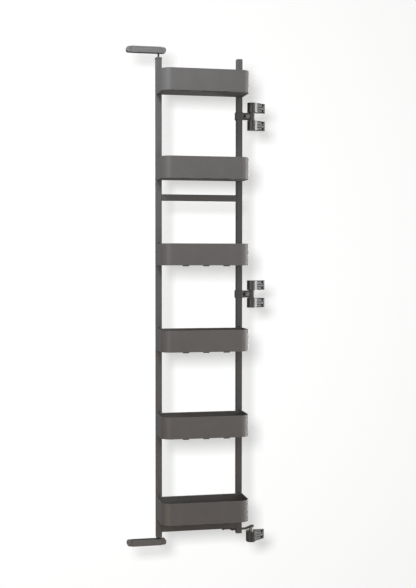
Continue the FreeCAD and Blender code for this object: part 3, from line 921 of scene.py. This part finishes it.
@dataclass
class PostFrame:
    """The two posts, the crossbars between them, their plugs and the guide pins.

    Attributes:
        tube_rounding: Rounding of the posts' and crossbars' edges.
        long_share: Edges longer than this share of a tube are its own long edges.
        plug_rounding: Rounding of the plugs' edges.
        tubes: The tubes' nodes and the names of their pieces.
        plugs: The plugs' nodes and the names of their pieces.
    """

    tube_rounding: float = 0.75 * MM
    long_share: float = 0.5
    plug_rounding: float = 0.6 * MM
    tubes: tuple[tuple[str, str], ...] = (
        ("left_post", "left_upright"), ("right_post", "right_upright"),
        ("upper_crossbar", "upper_tie"), ("lower_crossbar", "sill"))
    plugs: tuple[tuple[str, str], ...] = (
        ("left_post_top_plug", "left_top_plug"), ("left_post_foot_plug", "left_foot_plug"),
        ("right_post_top_cap", "right_top_cap"), ("right_post_foot_cap", "right_foot_cap"))

    def _tube(self, node: str, name: str) -> None:
        """Builds one post or crossbar from its node, with its long edges rounded.

        Args:
            node: The node's name.
            name: The piece's name.
        """
        form = Form.of_node(node)
        low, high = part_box(node)
        length = max(high - low)
        outer = [edge for edge in form.mesh.edges
                 if edge.calc_length() > length * self.long_share
                 and edge.calc_face_angle(0) > TUBE_CORNER]
        form.round(outer, self.tube_rounding)
        form.finish(name, FRAME_BODY, Coat.FRAME, [node], "frame_coat")

    def build(self) -> None:
        """Builds the frame's pieces."""
        for node, name in self.tubes:
            self._tube(node, name)
        for node, name in self.plugs:
            form = Form.of_node(node).soften(self.plug_rounding)
            form.finish(name, FRAME_BODY, Coat.PLUG, [node], "plug_moulding")
        for node in ("top_guide_pin", "bottom_guide_pin"):
            dress(node, Coat.PIN)
        dress("basket_hooks", Coat.HOOK)


class Reach(Enum):
    """What a lamp lights, by the name of a collection."""

    PAPER = "paper"
    LARDER = "larder"
    OPEN = "open_to_the_right"


@dataclass(frozen=True)
class Lamp:
    """One soft area lamp.

    Attributes:
        name: The lamp's name.
        place: Where it stands.
        aim: The point that it faces.
        size: Its width and height.
        power: Its power, in watts.
        colour: Its colour.
        reach: What it lights.
    """

    name: str
    place: tuple[float, float, float]
    aim: tuple[float, float, float]
    size: tuple[float, float]
    power: float
    colour: Colour = (1, 1, 1)
    reach: Reach = Reach.LARDER

    def build(self, lit: bpy.types.Collection) -> None:
        """Makes the lamp.

        Args:
            lit: The collection of what it lights.
        """
        data = bpy.data.lights.new(self.name, "AREA")
        data.shape = "RECTANGLE"
        data.size, data.size_y = self.size
        data.energy = self.power
        data.color = self.colour
        lamp = bpy.data.objects.new(self.name, data)
        lamp.location = self.place
        sight = Vector(self.aim) - Vector(self.place)
        lamp.rotation_euler = sight.to_track_quat("-Z", "Y").to_euler()
        lamp.light_linking.receiver_collection = lit
        lamp.visible_camera = False
        bpy.context.scene.collection.objects.link(lamp)


# In order: the lamp near the camera that casts the shadow on the paper, the broad one at the front
# left, the one at the front right that the smooth mouldings mirror, the one at the upper left, the
# one at the right that the housings' flat faces mirror, the one behind that rims the right-hand
# edges, and the low one whose warm light comes as off a wooden floor.
LAMPS = (
    Lamp("shadow", (-1.2384, -4.0861, 1.2435), (-0.25, 1.0, 0.95), (0.25, 0.25), 135.0,
         reach=Reach.PAPER),
    Lamp("key", (-1.85, -3.0, 1.45), (-0.25, -0.1, 0.95), (2.4, 2.4), 36.0, (1, 0.97, 0.94)),
    Lamp("front", (2.05, -3.0, 1.0), (-0.25, -0.1, 0.95), (3.0, 3.2), 33.0, (1, 0.98, 0.96)),
    Lamp("head", (-1.15, -0.85, 2.90), (-0.30, -0.1, 1.5), (0.6, 0.6), 39.0, (0.88, 0.94, 1)),
    Lamp("side", (2.0, -0.15, 0.89), (0.0, -0.03, 0.89), (0.5, 2.62), 49.0, reach=Reach.OPEN),
    Lamp("rim", (1.3, 1.3, 0.95), (-0.1, -0.1, 0.95), (0.6, 2.6), 35.0, reach=Reach.OPEN),
    Lamp("warm", (-1.10, -1.00, -0.20), (-0.30, -0.1, 0.05), (0.9, 0.9), 2.4, (1, 0.62, 0.40)),
)


@dataclass
class Studio:
    """The camera, the lamps, the world and the pale wall and floor behind the object.

    Attributes:
        focal_pixels: The camera's focal length, in pixels of the photograph's frame.
        yaw: How far the camera looks to the right of +Y.
        pitch: How far it looks down.
        roll: Its tilt about its own line of sight.
        place: Where it stands.
        sensor: The long side of its sensor, in millimetres.
        sight: How far it sees.
        wall_y: Where the pale wall stands.
        floor_z: Height of the pale floor.
        extent: How far wall and floor reach.
        cove: Radius of the bend between them.
        cove_steps: Steps of that bend.
        paper_shade: Lightness of the paper.
        paper_glow: How bright the paper is where it is seen, beyond what falls on it.
        mirror: How bright the sky is in reflections.
        ambient: Strength of the ambient light.
        ambient_colour: Its colour.
        shaded: The pieces that the lamps at the right and behind don't reach.
    """

    focal_pixels: float = 1087.5
    yaw: float = math.radians(11.969)
    pitch: float = math.radians(1.856)
    roll: float = math.radians(0.041)
    place: Vector = field(default_factory=lambda: Vector((-1078.4, -4086.1, 1073.5)) * MM)
    sensor: float = 36.0
    sight: float = 50.0
    wall_y: float = 1.0
    floor_z: float = -0.80
    extent: float = 7.0
    cove: float = 0.10
    cove_steps: int = 12
    paper_shade: float = 0.80
    paper_glow: float = 0.545
    mirror: float = 0.20
    ambient: float = 0.14
    ambient_colour: Colour = (1, 0.97, 0.94)
    shaded: tuple[str, ...] = ("left_upright", "right_upright", "upper_tie", "sill")

    def camera(self) -> None:
        """Makes the camera at the photograph's viewing angle."""
        data = bpy.data.cameras.new("camera")
        data.sensor_width = self.sensor
        data.lens = self.focal_pixels / IMAGE_HEIGHT * data.sensor_width
        data.clip_end = self.sight
        camera = bpy.data.objects.new("camera", data)
        bpy.context.scene.collection.objects.link(camera)
        level = math.cos(self.pitch)
        forward = Vector((math.sin(self.yaw) * level, math.cos(self.yaw) * level,
                          -math.sin(self.pitch)))
        right = Vector((math.cos(self.yaw), -math.sin(self.yaw), 0))
        up = right.cross(forward)
        tilted = right * math.cos(self.roll) + up * math.sin(self.roll)
        upright = up * math.cos(self.roll) - right * math.sin(self.roll)
        turn = Matrix((tilted, upright, -forward)).transposed()
        camera.matrix_world = Matrix.Translation(self.place) @ turn.to_4x4()
        bpy.context.scene.camera = camera

    def world(self) -> None:
        """Makes the world: soft ambient light, and white where it is seen or mirrored."""
        made = bpy.data.worlds.new("studio")
        made.use_nodes = True
        bpy.context.scene.world = made
        graph = Graph(made.node_tree)
        seen = graph.node("ShaderNodeLightPath", {}, {}, "Is Camera Ray")
        mirrored = graph.node("ShaderNodeLightPath", {}, {}, "Is Glossy Ray")
        ambient = graph.node("ShaderNodeBackground", {}, {
            "Color": (*self.ambient_colour, 1), "Strength": self.ambient})
        white = graph.node("ShaderNodeBackground", {}, {"Color": (1, 1, 1, 1), "Strength": 1.0})
        soft = graph.node("ShaderNodeMixShader", {}, {
            0: mirrored * self.mirror, 1: ambient, 2: white})
        shader = graph.node("ShaderNodeMixShader", {}, {0: seen, 1: soft, 2: white})
        graph.node("ShaderNodeOutputWorld", {}, {"Surface": shader})

    def paper(self) -> bpy.types.Material:
        """Makes the backdrop's paper, which is clear when it is seen from behind.

        Returns:
            The material.
        """
        made = bpy.data.materials.new("backdrop_paper")
        made.use_nodes = True
        graph = Graph(made.node_tree)
        seen = graph.node("ShaderNodeLightPath", {}, {}, "Is Camera Ray")
        through = graph.node("ShaderNodeLightPath", {}, {}, "Is Transmission Ray")
        matt = graph.node("ShaderNodeBsdfDiffuse", {}, {"Color": (*[self.paper_shade] * 3, 1)})
        glow = graph.node("ShaderNodeEmission", {}, {
            "Color": (1, 1, 1, 1), "Strength": (seen + through) * self.paper_glow})
        lit = graph.node("ShaderNodeAddShader", {}, {0: matt, 1: glow})
        clear = graph.node("ShaderNodeBsdfTransparent")
        behind = graph.node("ShaderNodeNewGeometry", {}, {}, "Backfacing")
        shader = graph.node("ShaderNodeMixShader", {}, {0: behind, 1: lit, 2: clear})
        graph.node("ShaderNodeOutputMaterial", {}, {"Surface": shader})
        return made

    def backdrop(self) -> bpy.types.Object:
        """Makes the pale wall and floor, which keep the object's soft shadow.

        Returns:
            The backdrop.
        """
        form = Form()
        form.block(Vector((-self.extent, -self.extent, self.floor_z)),
                   Vector((self.extent, self.wall_y, self.extent)))
        gone = [face for face in form.mesh.faces if face.normal.z > MOSTLY
                or face.normal.y < -MOSTLY or abs(face.normal.x) > MOSTLY]
        bmesh.ops.delete(form.mesh, geom=gone, context="FACES")
        bend = [edge for edge in form.mesh.edges if len(edge.link_faces) == 2]
        form.round(bend, self.cove, self.cove_steps)
        bmesh.ops.reverse_faces(form.mesh, faces=form.mesh.faces[:])
        for face in form.mesh.faces:
            face.smooth = True
        data = bpy.data.meshes.new("backdrop")
        form.mesh.to_mesh(data)
        form.mesh.free()
        data.materials.append(self.paper())
        piece = bpy.data.objects.new("backdrop", data)
        piece.visible_diffuse = False
        piece.visible_glossy = False
        piece.visible_shadow = False
        bpy.context.scene.collection.objects.link(piece)
        return piece

    def build(self) -> None:
        """Sets up the studio."""
        bpy.context.scene.view_settings.view_transform = "Standard"
        lit = {reach: bpy.data.collections.new(reach.value) for reach in Reach}
        for piece in bpy.context.scene.objects:
            if piece.type == "MESH":
                lit[Reach.LARDER].objects.link(piece)
                if piece.name not in self.shaded:
                    lit[Reach.OPEN].objects.link(piece)
        lit[Reach.PAPER].objects.link(self.backdrop())
        self.camera()
        self.world()
        for lamp in LAMPS:
            lamp.build(lit[lamp.reach])


def main() -> None:
    """Builds every sub-assembly in order and reports each piece."""
    logging.basicConfig(level=logging.INFO, format="%(name)s: %(message)s")
    PostFrame().build()
    for number in range(1, BASKETS + 1):
        Basket(number).build()
    for name in ("upper_hinge", "middle_hinge"):
        Hinge(name).build()
    BottomBearing().build()
    for side in Side:
        DoorRail(side).build()
    Studio().build()


if __name__ == "__main__":
    main()
